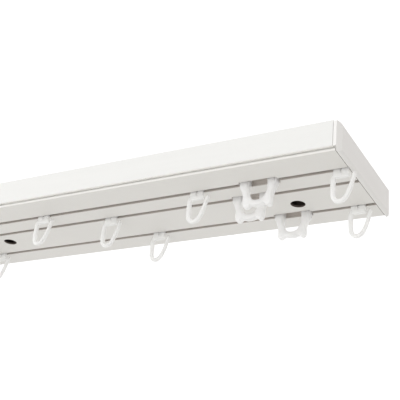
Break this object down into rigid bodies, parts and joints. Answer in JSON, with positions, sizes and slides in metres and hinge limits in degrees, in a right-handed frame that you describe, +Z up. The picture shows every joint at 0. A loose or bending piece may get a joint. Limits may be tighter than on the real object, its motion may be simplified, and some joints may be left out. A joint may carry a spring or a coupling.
{
  "type": "curtain track",
  "caption": "Flat ceiling curtain track with slotted runs, a clip-on front fascia, end caps, gate clips and sliding hook gliders.",
  "frame": {"origin": "centre of the profile's top face, which lies on the ceiling", "axes": "+X along the track to the right as seen from the room, -Y to the fascia side, +Z up to the ceiling"},
  "size_m": [0.6066, 0.0958, 0.045],
  "materials": {
    "profile": "extruded white, satin",
    "fascia": "extruded white, smooth",
    "end_cap": "moulded white, fine texture",
    "clip": "moulded, milky translucent",
    "glider": "moulded, milky translucent"
  },
  "bodies": {
    "track": {"track_profile": "profile", "fascia_strip": "fascia", "end_cap_right": "end_cap", "end_cap_left": "end_cap", "gate_clip_front": "clip", "gate_clip_middle": "clip", "gate_clip_back": "clip"},
    "glider_front_1": {"glider_front_1": "glider"},
    "glider_front_2": {"glider_front_2": "glider"},
    "glider_front_3": {"glider_front_3": "glider"},
    "glider_front_4": {"glider_front_4": "glider"},
    "glider_front_5": {"glider_front_5": "glider"},
    "glider_middle_1": {"glider_middle_1": "glider"},
    "glider_middle_2": {"glider_middle_2": "glider"},
    "glider_middle_3": {"glider_middle_3": "glider"},
    "glider_back_1": {"glider_back_1": "glider"},
    "glider_back_2": {"glider_back_2": "glider"},
    "glider_back_3": {"glider_back_3": "glider"},
    "glider_back_4": {"glider_back_4": "glider"}
  },
  "joints": [
    {"name": "slide_front_1", "type": "slide", "parent": "track", "child": "glider_front_1", "axis": [1, 0, 0], "range_m": [-0.0352, 0]},
    {"name": "slide_front_2", "type": "slide", "parent": "track", "child": "glider_front_2", "axis": [1, 0, 0], "range_m": [-0.0591, 0.023]},
    {"name": "slide_front_3", "type": "slide", "parent": "track", "child": "glider_front_3", "axis": [1, 0, 0], "range_m": [-0.0529, 0.0561]},
    {"name": "slide_front_4", "type": "slide", "parent": "track", "child": "glider_front_4", "axis": [1, 0, 0], "range_m": [-0.0529, 0.05]},
    {"name": "slide_front_5", "type": "slide", "parent": "track", "child": "glider_front_5", "axis": [1, 0, 0], "range_m": [-0.1148, 0.05]},
    {"name": "slide_middle_1", "type": "slide", "parent": "track", "child": "glider_middle_1", "axis": [1, 0, 0], "range_m": [-0.0611, 0.0918]},
    {"name": "slide_middle_2", "type": "slide", "parent": "track", "child": "glider_middle_2", "axis": [1, 0, 0], "range_m": [-0.0611, 0.0582]},
    {"name": "slide_middle_3", "type": "slide", "parent": "track", "child": "glider_middle_3", "axis": [1, 0, 0], "range_m": [-0.1313, 0.0582]},
    {"name": "slide_back_1", "type": "slide", "parent": "track", "child": "glider_back_1", "axis": [1, 0, 0], "range_m": [-0.0263, 0.007]},
    {"name": "slide_back_2", "type": "slide", "parent": "track", "child": "glider_back_2", "axis": [1, 0, 0], "range_m": [-0.0717, 0.0862]},
    {"name": "slide_back_3", "type": "slide", "parent": "track", "child": "glider_back_3", "axis": [1, 0, 0], "range_m": [-0.0612, 0.0689]},
    {"name": "slide_back_4", "type": "slide", "parent": "track", "child": "glider_back_4", "axis": [1, 0, 0], "range_m": [-0.1315, 0.0583]}
  ]
}
